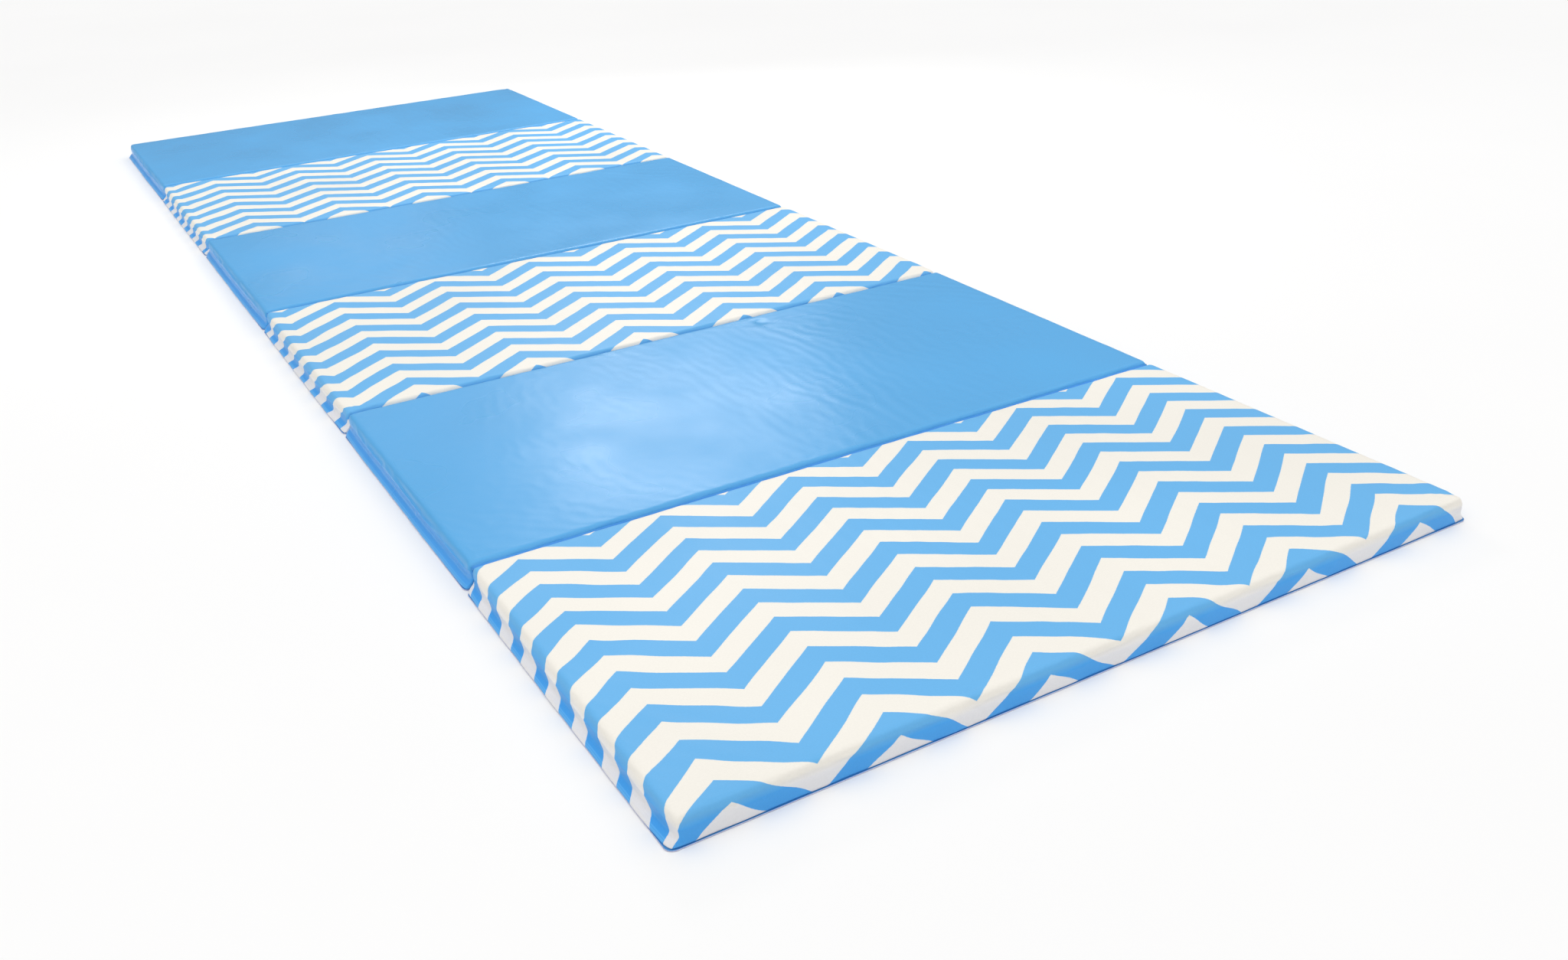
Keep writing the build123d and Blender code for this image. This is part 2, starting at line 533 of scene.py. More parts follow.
def floor_material():
    """Pale studio floor with a barely visible mottle."""
    material, nodes, shader, where = new_material("studio_floor", Roughness=0.8,
                                                  Specular_IOR_Level=0.1)
    mottle = nodes.noise(where, 1.2, 3.0)
    nodes.set(shader, Base_Color=nodes.mix(mottle, (0.93, 0.93, 0.93), (0.96, 0.96, 0.96)))
    return material


MATERIALS = {}


def material_of(name, make, *values):
    """The named material, made the first time it is asked for."""
    if name not in MATERIALS:
        MATERIALS[name] = make(*values)
    return MATERIALS[name]


# ---------------------------------------------------------------- cover shape

# Each outline runs from the edge of the flat top down to the hem: millimetres outward
# from that edge, and millimetres above the floor.
LONG_SIDE = (
    (0.0, 37.8), (3.6, 37.3), (6.8, 36.0), (9.5, 33.9), (11.4, 31.2), (12.6, 28.4),
    (12.9, 26.2), (12.9, 25.2), (12.6, 24.3), (12.1, 19.0), (11.8, 14.6), (12.1, 13.1),
    (12.8, 11.8), (13.9, 10.5), (15.2, 9.4), (16.4, 8.5), (17.2, 7.6), (18.4, 6.9),
    (19.1, 5.8), (20.1, 5.0), (20.8, 3.8), (21.1, 2.6), (20.5, 1.6), (12.0, 1.3),
)
END_SIDE = (
    (0.0, 36.6), (2.3, 35.4), (4.2, 33.7), (5.8, 31.5), (6.9, 28.9), (7.6, 26.2),
    (7.9, 23.6), (8.0, 22.0), (8.1, 20.4), (8.1, 18.0), (8.1, 15.4), (8.1, 13.8),
    (8.0, 12.2), (8.0, 10.8), (7.9, 9.4), (7.9, 8.2), (7.8, 7.0), (7.8, 6.0),
    (7.7, 5.0), (7.6, 4.0), (7.4, 3.1), (7.0, 2.3), (6.2, 1.7), (0.0, 1.3),
)
SEAM_SIDE = (
    (0.0, 37.3), (2.3, 36.4), (4.3, 34.8), (5.8, 32.7), (6.8, 30.2), (7.4, 27.6),
    (7.6, 25.0), (7.7, 23.4), (7.7, 21.8), (7.7, 19.2), (7.7, 16.4), (7.7, 14.6),
    (7.7, 12.8), (7.7, 11.2), (7.7, 9.8), (7.7, 8.4), (7.7, 7.2), (7.7, 6.1),
    (7.6, 5.0), (7.5, 4.0), (7.3, 3.1), (6.9, 2.3), (6.1, 1.7), (0.0, 1.3),
)
RINGS = len(LONG_SIDE)
SIDE_KINDS = {"long": LONG_SIDE, "end": END_SIDE, "seam": SEAM_SIDE}
ZIP_RINGS = (8, 9, 10)
HEM_RING = 13
# Rings where the highlight lines are painted along the flared hem.
RIB_HIGHLIGHT_RINGS = (17, 19, 21)


def spaced(half, cell):
    """Positions from -half to half, closer together near both ends."""
    near = [0.0, 0.0025, 0.0055, 0.0095, 0.015]
    inner = half - 0.022
    count = max(2, round(2 * inner / cell))
    middle = np.linspace(-inner, inner, count + 1)
    return np.concatenate([[-half + n for n in near], middle, [half - n for n in near[::-1]]])


def arc_lengths(outline):
    """Distance along an outline at each of its points."""
    steps = np.diff(np.array(outline), axis=0)
    return np.concatenate([[0.0], np.cumsum(np.hypot(steps[:, 0], steps[:, 1]))])


def crease(x, y, start, end, width, depth):
    """A soft ridge along the line from start to end, fading at both tips."""
    a, b = np.array(start), np.array(end)
    run = b - a
    size = np.linalg.norm(run)
    unit = run / size
    along = (x - a[0]) * unit[0] + (y - a[1]) * unit[1]
    off = (x - a[0]) * -unit[1] + (y - a[1]) * unit[0]
    share = np.clip(along / size, 0, 1)
    taper = np.sin(math.pi * share) ** 0.8
    return depth * taper * np.exp(-(off / width) ** 2)


def panel_relief(k, x, y, half_x, half_y):
    """Height of the loose vinyl over the foam, in metres, at points of the flat top."""
    slow = sines(40 + k, 7, 0.22, 0.60)(x, y) * 0.00035
    small = sines(60 + k, 9, 0.05, 0.13)(x, y)
    near = np.exp(-(y + half_y) / 0.028) + np.exp(-(half_y - y) / 0.028)
    side = np.exp(-(half_x - np.abs(x)) / 0.030)
    height = slow + small * (0.00045 * near + 0.00035 * side)
    for start, end, width, depth in PANEL_CREASES.get(k, ()):
        height = height + crease(x, y, start, end, width, depth)
    return height


def front_creases():
    """Slanting folds above the near edge of the first panel."""
    made = []
    for i, x in enumerate((0.215, 0.285, 0.345, 0.402, 0.462, 0.530)):
        reach = (0.115, 0.140, 0.125, 0.150, 0.110, 0.120)[i]
        made.append(((x, -0.300), (x + 0.055, -0.300 + reach), 0.0085, 0.0013))
    for x in (-0.500, -0.440, -0.385, -0.300, -0.130, 0.010, 0.110):
        made.append(((x, -0.300), (x + 0.030, -0.235), 0.0070, 0.0008))
    return made


def crease_row(count, start, start_step, end, end_step, width, depth):
    """Evenly stepped ridges, the first from start to end."""
    return [((start[0] + start_step[0] * i, start[1] + start_step[1] * i),
             (end[0] + end_step[0] * i, end[1] + end_step[1] * i), width, depth)
            for i in range(count)]


def right_pulls():
    """Short pulls over the right half of the third panel."""
    made = []
    for i in range(8):
        x = 0.020 + 0.068 * i
        made.append(((x, 0.060 - 0.02 * (i % 3)), (x + 0.050, 0.230), 0.011, 0.0009))
    return made + crease_row(6, (0.060, -0.290), (0.085, 0), (0.105, -0.150), (0.085, 0),
                             0.010, 0.0009)


# Ridges in the loose vinyl of each panel, in metres from its centre: folds above the near
# edge, ripples and long soft pulls, and short pulls.
PANEL_CREASES = {
    1: front_creases(),
    2: crease_row(7, (0.150, -0.230), (0.055, 0.012), (0.225, 0.120), (0.055, -0.010),
                  0.013, 0.0010)
    + crease_row(4, (-0.42, -0.22), (0.11, 0), (-0.22, 0.14), (0.11, 0), 0.022, 0.0008),
    3: right_pulls(),
    4: crease_row(5, (-0.1, -0.25), (0.12, 0), (0.02, 0.15), (0.12, 0), 0.020, 0.0007),
    5: crease_row(5, (0.1, -0.29), (0.09, 0), (0.15, -0.12), (0.09, 0), 0.012, 0.0008),
    6: crease_row(6, (-0.4, -0.20), (0.16, 0), (-0.25, 0.20), (0.16, 0), 0.022, 0.0006),
}

# Where each printed panel was cut from the roll: the x of a peak and the y of a white edge.
PRINT_PLACE = {1: (-0.5370, 0.0087), 3: (-0.4677, -0.0085), 5: (-0.4758, -0.0356)}
PRINT_STRETCH = {1: 1.0, 3: 1.03, 5: 0.972}


def corner_turn(distance, reach):
    """Quarter turn share for a point this far from its corner: a half at the corner itself."""
    return 0.5 * np.clip(1 - distance / reach, 0, 1)


# How far in the top starts to fall, and how square the corners are drawn.
END_FALL, SEAM_FALL = 0.022, 0.012
FULL_CORNER, SHARP_CORNER = 0.72, 0.30
# Puckers along the sides, in metres: outward, downward and at a free end.
SIDE_PUCKER, HEM_PUCKER, END_PUCKER = 0.00035, 0.00025, 0.0005
ZIP_FRAME = 0.0006


def cover_shape(k, sizes):
    """Points, faces, flat cut positions and layers of panel k's cover, open underneath."""
    wall_x = LIP_EDGE - LIP_REACH
    half_x = wall_x - sizes.shoulder
    half_y = HALF_LENGTH - sizes.seam_shoulder
    xs, ys = spaced(half_x, sizes.cell), spaced(half_y, sizes.cell)
    nx, ny = len(xs), len(ys)
    gx, gy = (g.ravel() for g in np.meshgrid(xs, ys))
    kinds = ("end" if k == 1 else "seam", "end" if k == 6 else "seam")

    relief = panel_relief(k, gx, gy, half_x, half_y)
    top = MAT_TOP + relief
    for kind, inside in ((kinds[0], gy + half_y), (kinds[1], half_y - gy),
                         ("long", half_x - np.abs(gx))):
        fall = MAT_TOP - SIDE_KINDS[kind][0][1] * MM
        reach = END_FALL if kind == "end" else SEAM_FALL
        top = top - fall * np.clip(1 - inside / reach, 0, 1) ** 2
    points = [np.stack([gx, gy, top], 1)]
    cuts = [np.stack([gx, gy], 1)]
    wall_shades, edges, rib_highlights = ([np.zeros(len(gx))] for _ in range(3))

    def index(i, j):
        return j * nx + i

    walk = [index(i, 0) for i in range(nx - 1)]
    walk += [index(nx - 1, j) for j in range(ny - 1)]
    walk += [index(i, ny - 1) for i in range(nx - 1, 0, -1)]
    walk += [index(0, j) for j in range(ny - 1, 0, -1)]
    walk = np.array(walk)
    bx, by, bz = points[0][walk].T
    on_long = np.abs(np.abs(bx) - half_x) < 1e-9
    on_short = np.abs(np.abs(by) - half_y) < 1e-9
    from_corner = np.where(on_long, half_y - np.abs(by), half_x - np.abs(bx))
    turn = corner_turn(from_corner, sizes.fine_edge)
    angle = np.where(on_long & ~on_short, turn, 1 - turn) * math.pi / 2
    angle = np.where(on_long & on_short, math.pi / 4, angle)
    cos, sin = np.cos(angle), np.sin(angle)
    cos[cos < 1e-6] = 0.0
    sin[sin < 1e-6] = 0.0
    far = by > 0
    free_end = np.where(far, kinds[1] == "end", kinds[0] == "end")
    ends = {}
    for name, kind in (("near", kinds[0]), ("far", kinds[1]), ("long", "long")):
        outline = np.array(SIDE_KINDS[kind]) * MM
        ends[name] = (outline, arc_lengths(outline))
    share = by / half_y
    swell_wall = 0.0010 - 0.0030 * np.abs(share) ** 5
    swell_lip = 0.0008 - 0.0022 * np.abs(share) ** 6
    pucker = sines(80 + k, 8, 0.045, 0.12)(bx, by)
    side_pucker = sines(90 + k, 6, 0.05, 0.14)(bx * 0.2, by)
    base_z = np.where(far, ends["far"][0][0, 1], ends["near"][0][0, 1]) * sin ** 2
    base_z = base_z + ends["long"][0][0, 1] * cos ** 2
    zipped = (bx > 0) & (np.abs(by) < ZIP_HALF) & on_long
    for ring in range(1, RINGS):
        out_s = np.where(far, ends["far"][0][ring, 0], ends["near"][0][ring, 0])
        z_s = np.where(far, ends["far"][0][ring, 1], ends["near"][0][ring, 1])
        arc_s = np.where(far, ends["far"][1][ring], ends["near"][1][ring])
        low_square = FULL_CORNER if ring <= HEM_RING - 3 else SHARP_CORNER
        square = np.where(free_end, FULL_CORNER, low_square)
        cx, cy = cos ** square * np.sign(bx), sin ** square * np.sign(by)
        out_l, z_l = ends["long"][0][ring]
        arc_l = ends["long"][1][ring]
        body = ease(ring / 6)
        swell = np.where(ring > HEM_RING, swell_lip, swell_wall * body)
        out_l = out_l + swell * (ring < RINGS - 1)
        if 2 < ring < RINGS - 2:
            out_l = out_l + side_pucker * SIDE_PUCKER * (1.4 if ring > HEM_RING else 1.0)
            out_s = out_s - np.where(free_end, END_PUCKER * (1 + pucker), 0.0001)
        if ring in ZIP_RINGS:
            out_l = np.where(zipped, out_l - ZIP_RECESS, out_l)
        elif ring in (ZIP_RINGS[0] - 1, ZIP_RINGS[-1] + 1):
            out_l = np.where(zipped, wall_x + ZIP_FRAME - half_x, out_l)
        fade = max(0.0, 1 - ring / 7)
        z = z_s * sin ** 2 + z_l * cos ** 2 + (bz - base_z) * fade
        if ring > HEM_RING and ring < RINGS - 2:
            z = z + side_pucker * HEM_PUCKER * cos ** 2
        z = np.maximum(z, HEM_FLOOR)
        points.append(np.stack([bx + cx * out_l, by + cy * out_s, z], 1))
        cuts.append(np.stack([bx + cx * arc_l, by + cy * arc_s], 1))
        # Painted shade layer: grows down from the shoulder and is strongest in the flared crease of
        # the long sides.
        depth = np.clip((ring - 3) / 4, 0, 1)
        flared = 1.0 if 12 <= ring <= 17 else 0.8
        wall_shades.append(depth * (flared * cos ** 2 + 0.85 * sin ** 2))
        # The rib layer marks the painted highlight lines on the long sides' flared hem.
        rib_highlights.append(np.full(len(bx), float(ring in RIB_HIGHLIGHT_RINGS)) * cos ** 2)
        edges.append(np.full(len(bx), math.exp(-((ring - 3) / 2.0) ** 2)))

    faces = [(index(i, j), index(i + 1, j), index(i + 1, j + 1), index(i, j + 1))
             for j in range(ny - 1) for i in range(nx - 1)]
    count = len(walk)
    rings = [walk] + [nx * ny + r * count + np.arange(count) for r in range(RINGS - 1)]
    for upper, lower in zip(rings, rings[1:]):
        following = np.roll(np.arange(count), -1)
        faces += list(zip(upper, lower, lower[following], upper[following]))
    layers = {"wall_shade": np.concatenate(wall_shades), "edge": np.concatenate(edges),
              "rib": np.concatenate(rib_highlights)}
    return np.concatenate(points), faces, np.concatenate(cuts), layers, rings


def cut_from_roll(k, cuts):
    """The flat cut's place on the printed roll."""
    if k not in PRINT_PLACE:
        return cuts
    peak, edge = PRINT_PLACE[k]
    placed = cuts.copy()
    x, y = cuts[:, 0], cuts[:, 1]
    loose = np.exp(-(x + 0.6) / 0.10) + 0.4 * np.exp(-(0.6 - x) / 0.08)
    if k == 1:
        loose = loose + np.exp(-(y + 0.30) / 0.09)
    shift = np.clip(loose, 0, 1.2) * (0.0024 if k == 1 else 0.0036)
    placed[:, 1] += shift * sines(130 + k, 6, 0.055, 0.13)(x, y)
    placed[:, 0] += 0.7 * shift * sines(140 + k, 6, 0.06, 0.14)(x, y)
    placed[:, 0] -= peak
    placed[:, 1] = (placed[:, 1] - edge) / PRINT_STRETCH[k]
    return placed


def held_weights(points, rings):
    """How firmly each point is held while the cloth settles: the hem is held fast."""
    held = np.zeros(len(points))
    for number, ring in enumerate(rings[1:], 1):
        held[ring] = ease((number - 3) / 6)
    return held


CLOTH = {
    "quality": 5, "mass": 0.25, "tension_stiffness": 60, "compression_stiffness": 60,
    "shear_stiffness": 30, "bending_stiffness": 3.0, "tension_damping": 25,
    "compression_damping": 25, "shear_damping": 25, "bending_damping": 2.0, "air_damping": 4.0,
    "vertex_group_mass": "held", "pin_stiffness": 1.0, "shrink_min": -0.0025,
    "use_pressure": True, "uniform_pressure_force": 0.35,
}
CLOTH_GAP = 0.0008
MOST_SHIFT = 0.004
SOFT_ABOVE, SOFT_BELOW = 0.0009, 0.0005


def settle_covers(shells, frames):
    """Lets the open covers settle over their foam, and returns each one's new points."""
    scene = bpy.context.scene
    blocks = []
    for k, (shell, held) in shells.items():
        low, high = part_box(f"foam_core_{k}")
        inset = Vector((0.004, 0.003, 0.0))
        block = box_object(f"settle_block_{k}", low + inset,
                           high - inset - Vector((0, 0, 0.0004)), 0.006)
        block.modifiers.new("Block", "COLLISION")
        block.collision.thickness_outer = CLOTH_GAP
        block.collision.cloth_friction = 12.0
        blocks.append(block)
        group = shell.vertex_groups.new(name="held")
        for weight in np.unique(held.round(3)):
            chosen = np.nonzero(held.round(3) == weight)[0].tolist()
            group.add(chosen, float(weight), "REPLACE")
        cloth = shell.modifiers.new("Settle", "CLOTH")
        for key, value in CLOTH.items():
            setattr(cloth.settings, key, value)
        cloth.collision_settings.use_self_collision = False
        cloth.collision_settings.distance_min = CLOTH_GAP
        cloth.point_cache.frame_start = 1
        cloth.point_cache.frame_end = frames
    for step in range(1, frames + 1):
        scene.frame_set(step)
    view = bpy.context.evaluated_depsgraph_get()
    settled = {}
    for k, (shell, _) in shells.items():
        result = shell.evaluated_get(view).data
        flat = np.zeros(len(result.vertices) * 3)
        result.vertices.foreach_get("co", flat)
        settled[k] = flat.reshape(-1, 3)
    for block in blocks:
        drop(block)
    scene.frame_set(1)
    return settled


COVER_RINGS = {}


def build_covers(sizes, frames):
    """Builds, settles and finishes all six covers."""
    shapes, shells = {}, {}
    for k in PANELS:
        points, faces, cuts, layers, rings = cover_shape(k, sizes)
        points[:, 1] += panel_centre(k)
        shapes[k] = (points, faces, cuts, layers, rings)
        shell = mesh_object(f"settle_shell_{k}", points, faces)
        shells[k] = (shell, held_weights(points, rings))
    settled = settle_covers(shells, frames) if shells else {}
    for shell, _ in shells.values():
        drop(shell)
    for k in PANELS:
        points, faces, cuts, layers, rings = shapes[k]
        if k in settled:
            points = tamed(points, settled[k])
        points[:, 2] = soft_ceiling(points[:, 2])
        piece = mesh_object(f"padded_cover_{k}", points, faces, cut_from_roll(k, cuts),
                            layers)
        COVER_RINGS[k] = [points[ring] for ring in rings]
        subdivide_and_close(piece)
        if k in PRINTED:
            vinyl, slot = material_of("printed", printed_vinyl, sizes), "chevron_vinyl"
        else:
            vinyl, slot = material_of("plain", plain_vinyl, sizes), "blue_vinyl"
        stand_in(piece, vinyl, f"cover_{k}", f"panel_{k}")


def tamed(rest, moved):
    """The settled points, with no point further than a few millimetres from its start."""
    shift = moved - rest
    size = np.linalg.norm(shift, axis=1)
    scale = MOST_SHIFT * np.tanh(size / MOST_SHIFT) / np.maximum(size, 1e-9)
    return rest + shift * scale[:, None]


def soft_ceiling(height):
    """Heights kept just under the gap that two folded panels leave."""
    bend = MAT_TOP - SOFT_BELOW
    span = SOFT_ABOVE + SOFT_BELOW
    over = np.maximum(height - MAT_TOP + SOFT_BELOW, 0)
    return np.where(over > 0, bend + span * np.tanh(over / span), height)


# ---------------------------------------------------------------- foam and underside

def build_foam():
    """A rounded foam slab inside each cover."""
    foam = material_of("foam", foam_material)
    for k in PANELS:
        low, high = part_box(f"foam_core_{k}")
        inset = Vector((0.006, 0.006, 0.0))
        slab = box_object(f"foam_slab_{k}", low + inset + Vector((0, 0, 0.0006)),
                          high - inset - Vector((0, 0, 0.0030)), 0.008)
        stand_in(slab, foam, f"foam_core_{k}", f"panel_{k}")


def round_plan(x, y, low, high, radius):
    """Draws a grid's corner points in, so that its outline has round corners."""
    mid_x, mid_y = (low.x + high.x) / 2, (low.y + high.y) / 2
    dx = np.abs(x - mid_x) - ((high.x - low.x) / 2 - radius)
    dy = np.abs(y - mid_y) - ((high.y - low.y) / 2 - radius)
    both = (dx > 0) & (dy > 0)
    u, v = np.clip(dx, 0, None) / radius, np.clip(dy, 0, None) / radius
    round_u = u * np.sqrt(np.clip(1 - v * v / 2, 0, None))
    round_v = v * np.sqrt(np.clip(1 - u * u / 2, 0, None))
    x = np.where(both, x + np.sign(x - mid_x) * (round_u - u) * radius, x)
    y = np.where(both, y + np.sign(y - mid_y) * (round_v - v) * radius, y)
    return x, y


HEM_STEPS = (0.0006, 0.003, 0.0075, 0.009, 0.0105)
HEM_GROOVE = 0.009


def hemmed_line(low, high, count):
    """Even steps from low to high, and more near both ends for the hem's groove."""
    return np.unique(np.concatenate([np.linspace(low, high, count),
                                     [low + d for d in HEM_STEPS],
                                     [high - d for d in HEM_STEPS]]))


def underside_mesh(k):
    """Points, faces and rim layer of the thin sheet under panel k, with a sewn hem groove."""
    low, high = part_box(f"underside_{k}")
    xs, ys = hemmed_line(low.x, high.x, 92), hemmed_line(low.y, high.y, 46)
    gx, gy = (g.ravel() for g in np.meshgrid(xs, ys))
    inside = np.minimum(np.minimum(gx - low.x, high.x - gx), np.minimum(gy - low.y, high.y - gy))
    groove = 0.0005 * np.exp(-((inside - HEM_GROOVE) / 0.0012) ** 2)
    lift = 0.00022 * (1 + sines(20 + k, 8, 0.09, 0.3)(gx, gy) * 0.5).clip(0, 2)
    bottom = np.maximum(groove, lift * np.clip(inside / 0.02, 0, 1))
    gx, gy = round_plan(gx, gy, low, high, 0.011)
    lower = np.stack([gx, gy, bottom], 1)
    upper = np.stack([gx, gy, np.full(len(gx), SHEET_TOP)], 1)
    rim = (inside < 0.0001).astype(float)
    return np.concatenate([lower, upper]), two_layers(len(ys), len(xs)), np.tile(rim, 2)


def build_undersides(sizes):
    """The plain sheet under each panel."""
    vinyl = material_of("underside", backing_vinyl, "underside_vinyl", tuple(sizes.underside_blue),
                        tuple(sizes.edge_grey), 0.5)
    for k in PANELS:
        points, faces, rim = underside_mesh(k)
        sheet = mesh_object(f"underside_sheet_{k}", points, faces, None, {"rim": rim})
        stand_in(sheet, vinyl, f"underside_{k}", f"panel_{k}")


# ---------------------------------------------------------------- hinges

# Across the gap: millimetres from its middle, and millimetres above the floor.
UPPER_SECTION = ((-3.9, 33.4), (-3.2, 32.5), (-2.4, 31.5), (-1.4, 30.8), (0.0, 30.5),
                 (1.4, 30.8), (2.4, 31.5), (3.2, 32.5), (3.9, 33.4))
LOWER_SECTION = ((-1.95, 2.0), (-1.75, 3.6), (-1.4, 5.1), (-0.8, 6.3), (0.0, 6.8),
                 (0.8, 6.3), (1.4, 5.1), (1.75, 3.6), (1.95, 2.0))
HINGE_RUNS = 170
STRIP_OVERHANG = 0.006
STRIP_RIPPLE = 0.00035


def hinge_mesh(k, upper, sizes):
    """A thin strip along the gap after panel k, closed all round."""
    low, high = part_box(f"hinge_{k}_{k + 1}")
    middle = (panel_centre(k) + panel_centre(k + 1)) / 2
    xs = np.linspace(low.x - STRIP_OVERHANG, high.x + STRIP_OVERHANG, HINGE_RUNS)
    section = np.array(UPPER_SECTION if upper else LOWER_SECTION) * MM
    ripple = sines(110 + k, 7, 0.03, 0.10)
    steps = np.gradient(section, axis=0)
    normal = np.stack([-steps[:, 1], steps[:, 0]], 1)
    normal /= np.linalg.norm(normal, axis=1)[:, None]
    slack = 1 - np.abs(section[:, 0]) / np.abs(section[:, 0]).max()
    points = []
    for side in (1, -1):
        for x in xs:
            wave = float(ripple(np.array([x]), np.array([0.0]))[0])
            sag = wave * STRIP_RIPPLE * slack * (1 if upper else -1)
            y = middle + section[:, 0] + normal[:, 0] * side * sizes.thickness / 2
            z = section[:, 1] + normal[:, 1] * side * sizes.thickness / 2 + sag
            points += list(zip(np.full(len(y), x), y, z))
    return points, two_layers(HINGE_RUNS, len(section)), middle, section


def build_hinges(sizes):
    """A fabric strip in each gap, bending between its two panels."""
    cloth = material_of("hinge", backing_vinyl, "hinge_vinyl", tuple(sizes.hinge_blue),
                        tuple(sizes.edge_grey), 0.45)
    for k in HINGES:
        upper = k % 2 == 1
        points, faces, middle, section = hinge_mesh(k, upper, sizes)
        strip = mesh_object(f"hinge_strip_{k}_{k + 1}", points, faces, None,
                            {"rim": np.zeros(len(points))})
        fix_normals(strip)
        stand_in(strip, cloth, f"hinge_{k}_{k + 1}", None)
        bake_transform(strip)


# ---------------------------------------------------------------- repeated shapes

def new_tree(name, *sockets):
    """A geometry tree with named inputs: the tree, its short calls and its inputs."""
    tree = bpy.data.node_groups.new(name, "GeometryNodeTree")
    tree.interface.new_socket("Geometry", in_out="INPUT", socket_type="NodeSocketGeometry")
    for label, kind in sockets:
        tree.interface.new_socket(label, in_out="INPUT", socket_type=f"NodeSocket{kind}")
    tree.interface.new_socket("Geometry", in_out="OUTPUT", socket_type="NodeSocketGeometry")
    nodes = Nodes(tree)
    return tree, nodes, nodes.add("NodeGroupInput").outputs


def close_tree(nodes, last, given):
    """Ends a tree in smooth shading, Realize Instances and Set Material."""
    real = nodes.add("GeometryNodeRealizeInstances", last)
    smooth = nodes.add("GeometryNodeSetShadeSmooth", real)
    paint = nodes.add("GeometryNodeSetMaterial", smooth, Material=given["Material"])
    nodes.add("NodeGroupOutput", paint)


def teeth_tree():
    """Two rows of slanted teeth along +Y."""
    tree, nodes, given = new_tree("Zip teeth", ("Start", "Vector"), ("Count", "Int"),
                                  ("Pitch", "Float"), ("Tooth", "Vector"), ("Slant", "Float"),
                                  ("Material", "Material"))
    join = nodes.add("GeometryNodeJoinGeometry")
    for row in (0, 1):
        step = nodes.add("ShaderNodeCombineXYZ", Y=given["Pitch"])
        start = nodes.add("ShaderNodeVectorMath", step, (0.0, 0.5 * row, 0.0), given["Start"],
                          operation="MULTIPLY_ADD")
        line = nodes.add("GeometryNodeMeshLine", Count=given["Count"], Start_Location=start,
                         Offset=step)
        ball = nodes.add("GeometryNodeMeshUVSphere", Segments=8, Rings=4, Radius=1.0)
        angle = nodes.math("MULTIPLY", given["Slant"], 1.0 - 2.0 * row)
        place = nodes.add("GeometryNodeTransform", ball, Scale=given["Tooth"],
                          Rotation=nodes.add("ShaderNodeCombineXYZ", angle))
        spread = nodes.add("GeometryNodeInstanceOnPoints", line, Instance=place)
        nodes.feed(join.inputs[0], spread)
    close_tree(nodes, join, given)
    return tree


def stitch_tree():
    """Short rounded stitches along every edge of the given path."""
    tree, nodes, given = new_tree("Stitches", ("Pitch", "Float"), ("Stitch", "Vector"),
                                  ("Material", "Material"))
    path = nodes.add("GeometryNodeMeshToCurve", given["Geometry"])
    even = nodes.add("GeometryNodeResampleCurve", path, mode="LENGTH", Length=given["Pitch"])
    ball = nodes.add("GeometryNodeMeshUVSphere", Segments=6, Rings=4, Radius=1.0)
    lay = nodes.add("GeometryNodeTransform", ball, Scale=given["Stitch"])
    turn = nodes.add("FunctionNodeAlignRotationToVector", axis="X",
                     Vector=nodes.add("GeometryNodeInputTangent"))
    spread = nodes.add("GeometryNodeInstanceOnPoints", even, Instance=lay, Rotation=turn)
    close_tree(nodes, spread, given)
    return tree


def grown(name, tree, values, path=None):
    """The tree's result on a path, as a plain mesh object."""
    mesh = bpy.data.meshes.new(f"{name}_seed")
    if path is not None:
        mesh.from_pydata([tuple(p) for p in path[0]], path[1], [])
    seed = linked_object(f"{name}_seed", mesh)
    growth = seed.modifiers.new("Growth", "NODES")
    growth.node_group = tree
    for item in tree.interface.items_tree:
        if item.in_out == "INPUT" and item.name in values:
            growth[item.identifier] = values[item.name]
    seed.update_tag()
    bpy.context.view_layer.update()
    view = bpy.context.evaluated_depsgraph_get()
    result = bpy.data.meshes.new_from_object(seed.evaluated_get(view))
    seed.modifiers.remove(growth)
    drop(seed)
    if not result.polygons:
        raise RuntimeError(f"{name} came out empty")
    result.name = name
    return linked_object(name, result)


def loops_to_path(loops):
    """Points and edges of several polylines; each is (points, closed)."""
    points, edges = [], []
    for line, closed in loops:
        start = len(points)
        points += [tuple(p) for p in line]
        edges += [(start + i, start + i + 1) for i in range(len(line) - 1)]
        if closed:
            edges.append((start + len(line) - 1, start))
    return points, edges


def hem_path(k):
    """The line of stitches round the underside of panel k, in its groove."""
    low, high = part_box(f"underside_{k}")
    inset, height, bend = HEM_GROOVE, 0.00025, 0.006
    x0, x1, y0, y1 = low.x + inset, high.x - inset, low.y + inset, high.y - inset
    corners = [(x0 + bend, y0 + bend, 180), (x1 - bend, y0 + bend, 270),
               (x1 - bend, y1 - bend, 0), (x0 + bend, y1 - bend, 90)]
    line = []
    for x, y, first in corners:
        for step in range(5):
            angle = math.radians(first + 22.5 * step)
            line.append((x + bend * math.cos(angle), y + bend * math.sin(angle), height))
    return [(line, True)]


THREAD_LIFT = 0.0001
STITCH_HALVES = (0.0019, 0.00042, 0.00026)


def zip_path(k):
    """Two lines of stitches along the upper and lower edges of panel k's zip opening."""
    centre = panel_centre(k)
    lines = []
    for ring in (ZIP_RINGS[0] - 2, ZIP_RINGS[-1] + 2):
        row = COVER_RINGS[k][ring]
        chosen = row[(row[:, 0] > 0.59) & (np.abs(row[:, 1] - centre) < 0.268)]
        chosen = chosen[np.argsort(chosen[:, 1])]
        lines.append(([(x + THREAD_LIFT, y, z) for x, y, z in chosen], False))
    return lines


